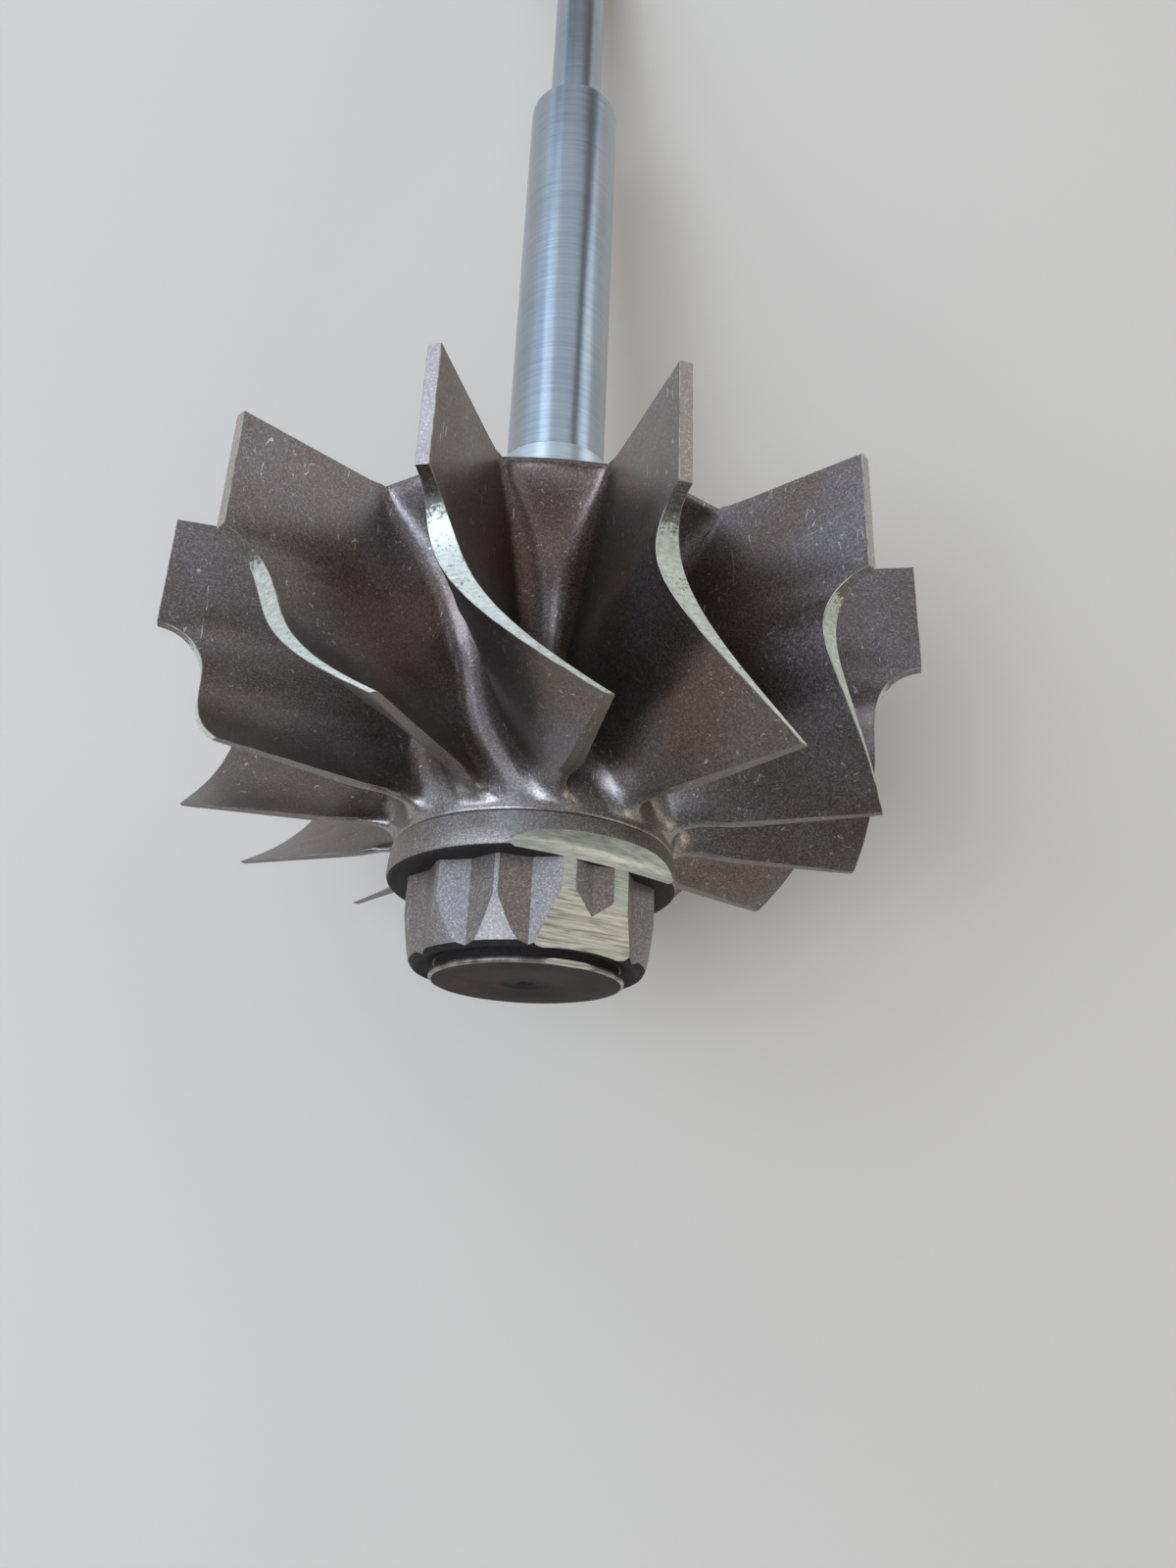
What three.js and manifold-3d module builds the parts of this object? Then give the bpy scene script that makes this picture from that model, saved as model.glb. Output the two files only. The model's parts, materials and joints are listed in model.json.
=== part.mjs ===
// Turbocharger shaft and wheel: a cast radial turbine wheel with twelve blades and a twelve point
// nose nut, friction welded to a ground steel shaft. It lies as it would on a bench, on two blade
// corners and the free end of the shaft.

import * as THREE from "three";
import { mergeVertices } from "three/addons/utils/BufferGeometryUtils.js";
import Module from "manifold-3d";

const wasm = await Module();
wasm.setup();

// Driving dimensions in millimetres. Stations are measured along the rotor's axis from the back
// corners of the blade tips, and grow toward the free end of the shaft.
const BLADE_COUNT = 12;
const TIP_RADIUS = 38; // the wheel is 76 across
const TIP_HEIGHT = 11.4; // axial height of each leading edge
const CONTOUR_FILLET = 4.8; // arc from the leading edge into the shroud line
const EXDUCER_RADIUS = 33.5; // at the trailing edge tips
const TRAILING_STATION = -27.6;
const WRAP = THREE.MathUtils.degToRad(23.4); // turn of the trailing edge ahead of the leading edge
const WRAP_POWER = 2.15;

const TIP_THICKNESS = 1.15; // flat leading edge face
const CROWN_THICKNESS = 2.3; // thickest place of the shroud edge
const CROWN_STATION = -15;
const TRAILING_THICKNESS = 0.8;
const ROOT_THICKENING = 1.1; // added at the hub
const ROOT_FILLET = 2.4; // cast fillet at the foot of each blade, less where the feet crowd together
const RIM_FILLET = 1.4; // the same at the back disc

const DISC_RADIUS = 23.1; // back disc, which the blades overhang
const DISC_STATION = 0.3; // its widest place
const HUB_WAIST_RADIUS = 12.8;
const HUB_FRONT_RADIUS = 13.5;
const BOSS_RADIUS = 7.2; // behind the disc
const HUB_BACK_RADIUS = 6.6; // at the weld face
const RIM_RADIUS = 14;
const RIM_BACK_STATION = -28;
const RIM_FRONT_STATION = -32.9;

const NUT_POINT_RADIUS = 12.12;
const NUT_LAND_RADIUS = 12;
const NUT_END_RADIUS = 11.15;
const NUT_TAPER_STATION = -36.6; // where the points start to taper
const NUT_END_STATION = -40.9;
const NOSE_RADIUS = 9.2;
const NOSE_NECK_RADIUS = 8.7;
const NOSE_STATION = -41.9;

const COLLAR_RADIUS = 6.2;
const COLLAR_FRONT_STATION = 13.2;
const COLLAR_BACK_STATION = 15.9;
const JOURNAL_RADIUS = 5.48;
const JOURNAL_END_STATION = 72.6;
const RELIEF_RADIUS = 3; // undercut where the stub meets the shoulder
const RELIEF_LENGTH = 1.5;
const RELIEF_DEPTH = 0.35; // into the shoulder
const STUB_RADIUS = 3.25;
const THREAD_RADIUS = 3.15;
const THREAD_START_STATION = 102;
const SHAFT_END_STATION = 120;
const CHAMFER = 0.6;

const SEAM = 0.3; // clearance left between neighbouring solids
const STUB_START_STATION = JOURNAL_END_STATION + RELIEF_LENGTH + SEAM;
const ROUND_SEGMENTS = 60;

// Materials
const castAlloy = new THREE.MeshStandardMaterial({ color: "#4a403c", roughness: 0.55, metalness: 0.7 });
const machinedEdge = new THREE.MeshStandardMaterial({ color: "#6b645c", roughness: 0.45, metalness: 0.8 });
const turnedSteel = new THREE.MeshStandardMaterial({ color: "#a7b6ba", roughness: 0.25, metalness: 1 });
const groundSteel = new THREE.MeshStandardMaterial({ color: "#8fa0a6", roughness: 0.2, metalness: 1 });

// The rotor's axis is its local Y. Angle 0 is local +Z, and angles grow toward +X.
const rotor = new THREE.Group();

function addPiece(name, geometry, material) {
  const mesh = new THREE.Mesh(geometry, material.clone());
  mesh.name = name;
  rotor.add(mesh);
}

// Solid booleans

function toSolid(geometry) {
  const bare = geometry.clone();
  bare.deleteAttribute("normal");
  bare.deleteAttribute("uv");
  const merged = mergeVertices(bare, 1e-4);
  const vertProperties = merged.attributes.position.array;
  const triVerts = new Uint32Array(merged.index.array);
  return new wasm.Manifold(new wasm.Mesh({ numProp: 3, vertProperties, triVerts }));
}

function toGeometry(solid) {
  const { vertProperties, triVerts } = solid.getMesh();
  const geometry = new THREE.BufferGeometry();
  geometry.setAttribute("position", new THREE.BufferAttribute(vertProperties, 3));
  geometry.setIndex(new THREE.BufferAttribute(triVerts, 1));
  geometry.computeVertexNormals();
  return geometry;
}

// A closed turned profile, given as [radius, station] pairs from the front to the back
function turned(profile) {
  const points = profile.map(([radius, station]) => new THREE.Vector2(radius, station));
  return new THREE.LatheGeometry(points, ROUND_SEGMENTS);
}

// A block whose flat face cuts the rotor at the given angle. The face leans so that it lies
// frontDistance from the axis at frontStation and backDistance from it at backStation.
function grindingBlock(angle, frontStation, frontDistance, backStation, backDistance) {
  const lean = Math.atan2(backDistance - frontDistance, backStation - frontStation);
  const reach = 12;
  const block = new THREE.BoxGeometry(4 * reach, 2 * reach, 2 * reach);
  block.translate(0, 0, reach);
  block.rotateX(lean * -1);
  block.translate(0, frontStation, frontDistance);
  return toSolid(block.rotateY(angle));
}

// Hub: the gas side sweeps from the nose up to the rim of the back disc, and the back of the disc
// runs in to a boss that carries the shaft. Curve points are (radius, station).

const gasSide = new THREE.SplineCurve([
  new THREE.Vector2(HUB_FRONT_RADIUS, RIM_BACK_STATION + SEAM),
  new THREE.Vector2(HUB_FRONT_RADIUS - 0.4, -21),
  new THREE.Vector2(HUB_WAIST_RADIUS, -15.5),
  new THREE.Vector2(13.6, -11.6),
  new THREE.Vector2(15, -8.9),
  new THREE.Vector2(16.7, -6.5),
  new THREE.Vector2(18.6, -4.4),
  new THREE.Vector2(DISC_RADIUS - 2.2, -2.3),
  new THREE.Vector2(DISC_RADIUS - 0.6, -0.8),
  new THREE.Vector2(DISC_RADIUS, DISC_STATION),
]);
const backSide = new THREE.SplineCurve([
  new THREE.Vector2(DISC_RADIUS - 0.6, 1.1),
  new THREE.Vector2(16, 2.3),
  new THREE.Vector2(11, 3.6),
  new THREE.Vector2(BOSS_RADIUS + 1.1, 5.6),
  new THREE.Vector2(BOSS_RADIUS, 9),
  new THREE.Vector2(HUB_BACK_RADIUS, COLLAR_FRONT_STATION - SEAM),
]);
const hubProfile = [...gasSide.getPoints(27), ...backSide.getPoints(15)];
addPiece(
  "wheel_hub",
  turned([
    [0, hubProfile[0].y],
    ...hubProfile.map((point) => [point.x, point.y]),
    [0, hubProfile[hubProfile.length - 1].y],
  ]),
  castAlloy,
);

// Blades

// Every point of a blade at one station has the same angle, so the blade is made of radial lines.
function camber(station) {
  const start = -TIP_HEIGHT - 0.6;
  const share = (start - station) / (start - TRAILING_STATION);
  return share > 0 ? WRAP * share ** WRAP_POWER : 0;
}

function bladeThickness(station, rise) {
  const { lerp, smoothstep } = THREE.MathUtils;
  const edge =
    station > CROWN_STATION
      ? lerp(TIP_THICKNESS, CROWN_THICKNESS, 1 - smoothstep(station, CROWN_STATION, -TIP_HEIGHT))
      : lerp(TRAILING_THICKNESS, CROWN_THICKNESS, smoothstep(station, TRAILING_STATION, CROWN_STATION));
  return edge + ROOT_THICKENING * (1 - rise);
}

// How much a quarter-round fillet on each side widens a blade at a height above its foot
function filletWidth(height, fillet) {
  return height < fillet ? 2 * (fillet - Math.sqrt(fillet ** 2 - (fillet - height) ** 2)) : 0;
}

const shroudEnd = new THREE.Vector2(-TIP_HEIGHT - CONTOUR_FILLET, TIP_RADIUS - CONTOUR_FILLET);
const leadingEdge = new THREE.LineCurve(
  new THREE.Vector2(0, TIP_RADIUS),
  new THREE.Vector2(-TIP_HEIGHT, TIP_RADIUS),
);
const contourFillet = new THREE.EllipseCurve(
  shroudEnd.x, TIP_RADIUS, CONTOUR_FILLET, CONTOUR_FILLET, 0, -Math.PI / 2, true,
);
const shroudLine = new THREE.LineCurve(
  shroudEnd,
  new THREE.Vector2(TRAILING_STATION, EXDUCER_RADIUS),
);
const outerEdge = [
  ...leadingEdge.getPoints(2),
  ...contourFillet.getPoints(5).slice(1),
  ...shroudLine.getPoints(7).slice(1),
];
const pitch = (2 * Math.PI) / BLADE_COUNT;

function bladeGeometry(angle) {
  const columns = outerEdge.length;
  const filletHeights = [0, 0.3, 1];
  const freeRows = 3;
  const rows = filletHeights.length + freeRows;
  const positions = [];
  for (const side of [1, -1]) {
    outerEdge.forEach((tip, column) => {
      const share = 1 - column / (columns - 1);
      const floor = gasSide.getPointAt(share);
      const along = gasSide.getTangentAt(share);
      const root = new THREE.Vector2(
        Math.max(floor.y - SEAM * along.x, TRAILING_STATION),
        floor.x + SEAM * along.y,
      );
      const rootThickness = bladeThickness(root.x, 0);
      const room = (pitch * root.y - rootThickness) / 2 - SEAM;
      const cast = THREE.MathUtils.lerp(ROOT_FILLET, RIM_FILLET, THREE.MathUtils.smoothstep(share, 0.7, 1));
      const fillet = Math.min(cast, room);
      root.y /= Math.cos((rootThickness / 2 + fillet) / root.y); // the flat foot clears the round hub
      const span = root.distanceTo(tip);
      const heights = filletHeights.map((share) => share * fillet);
      for (let row = 1; row <= freeRows; row += 1) {
        heights.push(THREE.MathUtils.lerp(fillet, span, row / freeRows));
      }
      for (const height of heights) {
        const rise = height / span;
        const place = root.clone().lerp(tip, rise);
        const width = bladeThickness(place.x, rise) + filletWidth(height, fillet);
        const turn = angle + camber(place.x) + (side * width) / (2 * place.y);
        positions.push(place.y * Math.sin(turn), place.x, place.y * Math.cos(turn));
      }
    });
  }

  const corner = (side, column, row) => (side * columns + column) * rows + row;
  const index = [];
  const quad = (a, b, c, d) => index.push(a, b, c, a, c, d);
  for (let column = 0; column < columns - 1; column += 1) {
    for (let row = 0; row < rows - 1; row += 1) {
      const [near, far] = [0, 1].map((side) => [
        corner(side, column, row),
        corner(side, column + 1, row),
        corner(side, column + 1, row + 1),
        corner(side, column, row + 1),
      ]);
      quad(...near.reverse());
      quad(...far);
    }
    for (const [row, flip] of [[0, false], [rows - 1, true]]) {
      const strip = [
        corner(0, column, row),
        corner(0, column + 1, row),
        corner(1, column + 1, row),
        corner(1, column, row),
      ];
      quad(...(flip ? strip.reverse() : strip));
    }
  }
  for (let row = 0; row < rows - 1; row += 1) {
    for (const [column, flip] of [[0, false], [columns - 1, true]]) {
      const strip = [
        corner(0, column, row),
        corner(1, column, row),
        corner(1, column, row + 1),
        corner(0, column, row + 1),
      ];
      quad(...(flip ? strip.reverse() : strip));
    }
  }

  const geometry = new THREE.BufferGeometry();
  geometry.setAttribute("position", new THREE.Float32BufferAttribute(positions, 3));
  geometry.setIndex(index);
  geometry.computeVertexNormals();
  return geometry;
}

// The blades straddle the bottom, so that the wheel stands on two of them.
for (let blade = 0; blade < BLADE_COUNT; blade += 1) {
  const name = `blade_${String(blade + 1).padStart(2, "0")}`;
  addPiece(name, bladeGeometry((blade + 0.5) * pitch), castAlloy);
}

// Nose: balancing rim, twelve point nut and end boss

// Metal was ground off for balance in two passes. The first follows a wide arc round the rim and
// the points of the nut, and its shoulder is rounded. The second is a flat that leans to the nose.
const HOLLOW_ANGLE = THREE.MathUtils.degToRad(32);
const HOLLOW_SWEEP = 51; // radius of the arc
const HOLLOW_DISTANCE = 11.4; // its least distance from the rotor's axis
const FLAT_ANGLE = THREE.MathUtils.degToRad(28);

const hollow = turned([
  [HOLLOW_SWEEP, NUT_TAPER_STATION - 1],
  [HOLLOW_SWEEP + 6, NUT_TAPER_STATION - 1],
  [HOLLOW_SWEEP + 6, RIM_FRONT_STATION + 1.9],
  [HOLLOW_SWEEP + 2.7, RIM_FRONT_STATION + 1.85],
  [HOLLOW_SWEEP + 1.1, RIM_FRONT_STATION + 1.5],
  [HOLLOW_SWEEP + 0.3, RIM_FRONT_STATION + 0.9],
  [HOLLOW_SWEEP, RIM_FRONT_STATION],
  [HOLLOW_SWEEP, NUT_TAPER_STATION - 1],
]);
hollow.translate(0, 0, HOLLOW_DISTANCE - HOLLOW_SWEEP).rotateY(HOLLOW_ANGLE);

const rim = turned([
  [0, RIM_FRONT_STATION],
  [RIM_RADIUS - 0.4, RIM_FRONT_STATION],
  [RIM_RADIUS, RIM_FRONT_STATION + 0.4],
  [RIM_RADIUS - 0.2, RIM_BACK_STATION],
  [0, RIM_BACK_STATION],
]);
addPiece("balance_rim", toGeometry(toSolid(rim).subtract(toSolid(hollow))), machinedEdge);

const nutBack = RIM_FRONT_STATION - SEAM;
const star = new THREE.Shape();
const valleyRadius = (NUT_POINT_RADIUS * Math.cos(Math.PI / 6)) / Math.cos(Math.PI / 12);
for (let corner = 0; corner < 2 * BLADE_COUNT; corner += 1) {
  const radius = corner % 2 ? NUT_POINT_RADIUS : valleyRadius;
  const turn = (corner * pitch) / 2;
  star[corner ? "lineTo" : "moveTo"](radius * Math.sin(turn), radius * Math.cos(turn));
}
const starPrism = new THREE.ExtrudeGeometry(star, {
  depth: nutBack - NUT_END_STATION,
  bevelEnabled: false,
});
starPrism.rotateX(Math.PI / 2).translate(0, nutBack, 0);
const nutEnvelope = turned([
  [0, NUT_END_STATION - 1],
  [NUT_END_RADIUS - 1.2, NUT_END_STATION - 1],
  [NUT_END_RADIUS - 0.4, NUT_END_STATION + 0.1],
  [NUT_END_RADIUS, NUT_END_STATION + 0.6],
  [NUT_LAND_RADIUS, NUT_TAPER_STATION],
  [NUT_LAND_RADIUS, nutBack + 1],
  [0, nutBack + 1],
]);
const flat = grindingBlock(FLAT_ANGLE, NUT_END_STATION, 9.85, NUT_TAPER_STATION, 11.2);
const nut = toSolid(starPrism).intersect(toSolid(nutEnvelope));
addPiece("nose_nut", toGeometry(nut.subtract(toSolid(hollow)).subtract(flat)), castAlloy);

addPiece(
  "nose_boss",
  turned([
    [0, NOSE_STATION],
    [NOSE_RADIUS - 0.15, NOSE_STATION],
    [NOSE_RADIUS, NOSE_STATION + 0.15],
    [NOSE_RADIUS, NOSE_STATION + 0.4],
    [NOSE_NECK_RADIUS, NOSE_STATION + 0.5],
    [NOSE_NECK_RADIUS, NUT_END_STATION - SEAM],
    [0, NUT_END_STATION - SEAM],
  ]),
  machinedEdge,
);

// Shaft: seal collar, bearing journal, compressor stub and its thread

addPiece(
  "seal_collar",
  turned([
    [0, COLLAR_FRONT_STATION],
    [COLLAR_RADIUS, COLLAR_FRONT_STATION],
    [COLLAR_RADIUS, COLLAR_BACK_STATION - 0.2],
    [COLLAR_RADIUS - 0.2, COLLAR_BACK_STATION],
    [0, COLLAR_BACK_STATION],
  ]),
  turnedSteel,
);
addPiece(
  "bearing_journal",
  turned([
    [0, COLLAR_BACK_STATION + SEAM],
    [JOURNAL_RADIUS, COLLAR_BACK_STATION + SEAM],
    [JOURNAL_RADIUS, JOURNAL_END_STATION - CHAMFER],
    [JOURNAL_RADIUS - CHAMFER, JOURNAL_END_STATION],
    [STUB_RADIUS + RELIEF_DEPTH, JOURNAL_END_STATION],
    [STUB_RADIUS, JOURNAL_END_STATION - RELIEF_DEPTH],
    [RELIEF_RADIUS, JOURNAL_END_STATION - RELIEF_DEPTH],
    [RELIEF_RADIUS, JOURNAL_END_STATION + RELIEF_LENGTH],
    [0, JOURNAL_END_STATION + RELIEF_LENGTH],
  ]),
  groundSteel,
);
addPiece(
  "compressor_stub",
  turned([
    [0, STUB_START_STATION],
    [STUB_RADIUS, STUB_START_STATION],
    [STUB_RADIUS, THREAD_START_STATION],
    [0, THREAD_START_STATION],
  ]),
  groundSteel,
);
addPiece(
  "stub_thread",
  turned([
    [0, THREAD_START_STATION + SEAM],
    [THREAD_RADIUS, THREAD_START_STATION + SEAM],
    [THREAD_RADIUS, SHAFT_END_STATION - CHAMFER],
    [THREAD_RADIUS - CHAMFER, SHAFT_END_STATION],
    [0, SHAFT_END_STATION],
  ]),
  turnedSteel,
);

// Resting pose: the lowest blade corners and the end of the thread share one level.
const cornerAngle = pitch / 2 - TIP_THICKNESS / (2 * TIP_RADIUS);
const cornerDrop = TIP_RADIUS * Math.cos(cornerAngle);
rotor.rotation.x = -Math.atan2(cornerDrop - THREAD_RADIUS, SHAFT_END_STATION - CHAMFER);

// The origin is the middle of the footprint, on the floor.
const bounds = new THREE.Box3().setFromObject(rotor, true);
const middle = bounds.getCenter(new THREE.Vector3());
rotor.position.set(-middle.x, -middle.y, -bounds.min.z);

const part = new THREE.Group();
part.add(rotor);

export default part;
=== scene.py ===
"""Turbocharger shaft and wheel: a cast turbine wheel on a ground steel shaft, lying on a pale floor."""

import json
import math

import bmesh
import bpy
from mathutils import Euler, Matrix, Vector


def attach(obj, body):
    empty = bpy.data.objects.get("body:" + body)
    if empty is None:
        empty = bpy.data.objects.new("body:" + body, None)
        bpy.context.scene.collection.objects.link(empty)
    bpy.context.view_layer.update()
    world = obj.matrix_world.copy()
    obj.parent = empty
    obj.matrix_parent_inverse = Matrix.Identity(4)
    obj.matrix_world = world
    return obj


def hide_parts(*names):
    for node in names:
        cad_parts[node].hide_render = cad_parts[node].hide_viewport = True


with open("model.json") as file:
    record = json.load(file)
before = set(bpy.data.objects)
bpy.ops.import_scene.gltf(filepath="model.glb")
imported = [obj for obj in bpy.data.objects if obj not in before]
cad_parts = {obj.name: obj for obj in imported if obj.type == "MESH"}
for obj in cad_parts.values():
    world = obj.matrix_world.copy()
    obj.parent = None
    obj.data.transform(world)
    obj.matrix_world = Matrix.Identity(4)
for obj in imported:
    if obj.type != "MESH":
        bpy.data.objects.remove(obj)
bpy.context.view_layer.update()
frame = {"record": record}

# Dimensions of the rotor in millimetres. Stations run along its axis from the back corners of the
# blade tips and grow toward the free end of the shaft. Angle 0 is the top, and angles grow toward +X.

# Blades: where the tips and trailing edges reach, which points of the contour arc and of the shroud
# line shape the outer edge, how the camber turns, and how thick the metal is.
BLADE_COUNT = 12
PITCH = 2 * math.pi / BLADE_COUNT
TIP_RADIUS = 38.0
TIP_HEIGHT = 11.4
CONTOUR_FILLET = 4.8
CONTOUR_TURNS = (15, 34, 60, 88)
SHROUD_SHARES = (0.2, 0.42, 0.64, 0.84, 1)
EXDUCER_RADIUS = 33.5
TRAILING_STATION = -27.6
WRAP_START_STATION = -12.0
WRAP = math.radians(23.4)
WRAP_POWER = 2.15
TIP_THICKNESS = 1.15
CROWN_THICKNESS = 2.3
CROWN_STATION = -15.0
TRAILING_THICKNESS = 0.8
ROOT_THICKENING = 1.1

# The cast fillet at a blade's foot: its radius on the hub, its radius at the disc's rim, and the radii
# of the hub between which one turns into the other.
ROOT_FILLET = 3.1
RIM_FILLET = 1.2
RIM_FILLET_RADII = (18.5, 23.5)

# Where the finish changes: the stations between which the grinding of the blades' edges comes up to
# its full depth, and the stations and radii between which the hub's skin turns to a lighter grey, a
# painted highlight on the hub in front of the blades.
GRINDING_STATIONS = (-13.8, -12.2)
HIGHLIGHT_STATIONS = (-24.5, -28.0)
HIGHLIGHT_RADII = (18.0, 14.5)

# Hub as (station, radius): the boss and the back of the disc, the gas side under the blades from the
# disc's rim to the trailing edges, and the neck in front of them.
HUB_BACK_LINE = [
    (13.1, 6.55), (12.3, 6.75), (9.4, 7.15), (7.0, 7.6), (5.3, 8.7),
    (4.0, 10.8), (2.7, 15.0), (1.65, 20.0), (1.15, 22.4),
]
HUB_ROOT_LINE = [
    (0.35, 23.5), (-1.1, 22.2), (-3.1, 19.9), (-5.1, 17.9), (-7.2, 16.1), (-9.4, 14.6),
    (-12.0, 13.4), (-14.9, 12.85), (-18.0, 12.8), (-21.2, 13.0), (-24.5, 13.25), (TRAILING_STATION, 13.5),
]
HUB_FRONT_LINE = [(-28.7, 13.6), (-29.3, 13.66), (-29.42, 13.55), (-29.6, 13.25)]

# Nose: the balancing rim, the nut with its tapered lands, and the round end boss. The nut is a double
# hexagon, and the sides of its two hexagons cross in its valleys.
RIM_SEAM_STATION = -29.5
RIM_SEAM_RADIUS = 13.66
RIM_FRONT_STATION = -32.9
RIM_RADIUS = 14.0
NUT_POINTS = 12
NUT_POINT_RADIUS = 12.12
NUT_VALLEY_RADIUS = NUT_POINT_RADIUS * math.cos(math.radians(30)) / math.cos(math.radians(15))
NUT_LAND_RADIUS = 12.0
NUT_TAPER_STATION = -36.6
NUT_END_RADIUS = 11.15
NUT_END_STATION = -40.9
NOSE_RADIUS = 9.2
NOSE_NECK_RADIUS = 8.7
NOSE_STATION = -41.9
CENTRE_MARK_RADIUS = 1.2
CENTRE_MARK_DEPTH = 0.55

# Metal ground off for balance: a hollow along a wide arc round the rim and the points of the nut, and
# a flat that leans to the nose and grazes the end boss. A flat's distance from the axis is given at
# its front and its back.
HOLLOW_ANGLE = math.radians(31)
HOLLOW_SWEEP = 51.0
HOLLOW_WIDTH = 6.0
HOLLOW_DISTANCE = 11.46
FLAT_ANGLE = math.radians(28)
FLAT_DISTANCES = (9.85, 11.2)
BOSS_FLAT_ANGLE = math.radians(24)
BOSS_FLAT_DISTANCES = (8.85, 9.1)
BOSS_FLAT_LENGTH = 1.0

# The hollow's rounded shoulder in the rim: how far outside the swept arc each point lies, and how far
# behind the rim's front face.
HOLLOW_SHOULDER = [
    (HOLLOW_WIDTH, 1.9), (2.7, 1.85), (1.7, 1.7), (0.95, 1.4), (0.4, 0.95), (0.1, 0.45), (0, -0.1),
]

# Shaft: collar, journal with its relief groove, stub and thread.
COLLAR_RADIUS = 6.2
COLLAR_FRONT_STATION = 13.1
COLLAR_BACK_STATION = 15.9
JOURNAL_RADIUS = 5.48
JOURNAL_END_STATION = 72.6
RELIEF_RADIUS = 3.0
RELIEF_LENGTH = 1.5
RELIEF_DEPTH = 0.35
STUB_RADIUS = 3.25
THREAD_START_STATION = 102.0
THREAD_RADIUS = 3.15
THREAD_PITCH = 0.9
THREAD_DEPTH = 0.5
SHAFT_END_STATION = 120.0
END_CHAMFER = 0.6

# The rotor's place: its axis comes from a mount, and START, where station 0 lies, is as far above the
# floor as the two blade corners that it rests on need.
MILLIMETRE = 0.001
mounts = {mount["name"]: mount for mount in frame["record"]["mounts"]}
axis = Vector(mounts["shaft_end_face"]["axis"]).normalized()
nose = Vector(mounts["nose_end_face"]["pos_m"]) / MILLIMETRE
corner_drop = TIP_RADIUS * math.cos(PITCH / 2 - TIP_THICKNESS / (2 * TIP_RADIUS))
start_height = corner_drop * axis.y
start_y = nose.y - (NOSE_STATION - axis.z * (nose.z - start_height)) / axis.y
up = Vector((1, 0, 0)).cross(axis)
START = Vector((0, start_y, start_height))
TURN = Matrix(((1, 0, 0), axis, up)).transposed()
ROTOR = Matrix.Scale(MILLIMETRE, 4) @ Matrix.Translation(START) @ TURN.to_4x4()


# Materials


def colour(code):
    """A linear colour from an sRGB hex value."""
    channels = [int(code[i : i + 2], 16) / 255 for i in (1, 3, 5)]
    return (*[c / 12.92 if c <= 0.04045 else ((c + 0.055) / 1.055) ** 2.4 for c in channels], 1)


def add(tree, kind, inputs=None, stops=None, **settings):
    """Adds a node with its properties and colour stops. Its inputs are values, nodes or sockets."""
    made = tree.nodes.new(kind)
    for name, value in settings.items():
        setattr(made, name, value)
    for name, value in (inputs or {}).items():
        if isinstance(value, bpy.types.Node):
            value = value.outputs[0]
        if isinstance(value, bpy.types.NodeSocket):
            tree.links.new(value, made.inputs[name])
        else:
            made.inputs[name].default_value = value
    for number, (position, code) in enumerate(stops or ()):
        elements = made.color_ramp.elements
        element = elements[number] if number < len(elements) else elements.new(position)
        element.position, element.color = position, colour(code)
    return made


NOISE, RAMP, MAPPING = "ShaderNodeTexNoise", "ShaderNodeValToRGB", "ShaderNodeMapping"
BUMP, MATH, RANGE, MIX = "ShaderNodeBump", "ShaderNodeMath", "ShaderNodeMapRange", "ShaderNodeMix"
SEPARATE, VECTOR_MATH = "ShaderNodeSeparateXYZ", "ShaderNodeVectorMath"
BLACK, WHITE, MID_GREY = "#000000", "#ffffff", "#7f7f7f"


def per_mm(size):
    """The scale of a texture whose features are this many millimetres across."""
    return 1 / (size * MILLIMETRE)


def start_material(name):
    """A new material with its tree and the rotor's own coordinates, whose Y runs along the axis."""
    material = bpy.data.materials.new(name)
    material.use_nodes = True
    tree = material.node_tree
    tree.nodes.clear()
    place = add(tree, "ShaderNodeTexCoord").outputs["Object"]
    inverse = TURN.transposed()
    shift = -(inverse @ START) * MILLIMETRE
    local = add(tree, MAPPING, {"Vector": place, "Location": shift, "Rotation": inverse.to_euler()})
    return material, tree, local


def finish_material(tree, tone, *, roughness, metallic, bumps=()):
    """The shader. Bumps are (height, strength, depth in millimetres), from the broadest to the finest."""
    surface = {"Base Color": tone, "Roughness": roughness, "Metallic": metallic}
    shader = add(tree, "ShaderNodeBsdfPrincipled", surface)
    normal = None
    for height, strength, depth in bumps:
        inputs = {"Height": height, "Strength": strength, "Distance": depth * MILLIMETRE}
        if normal:
            inputs["Normal"] = normal
        normal = add(tree, BUMP, inputs)
    if normal:
        tree.links.new(normal.outputs[0], shader.inputs["Normal"])
    add(tree, "ShaderNodeOutputMaterial", {"Surface": shader})
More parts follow.
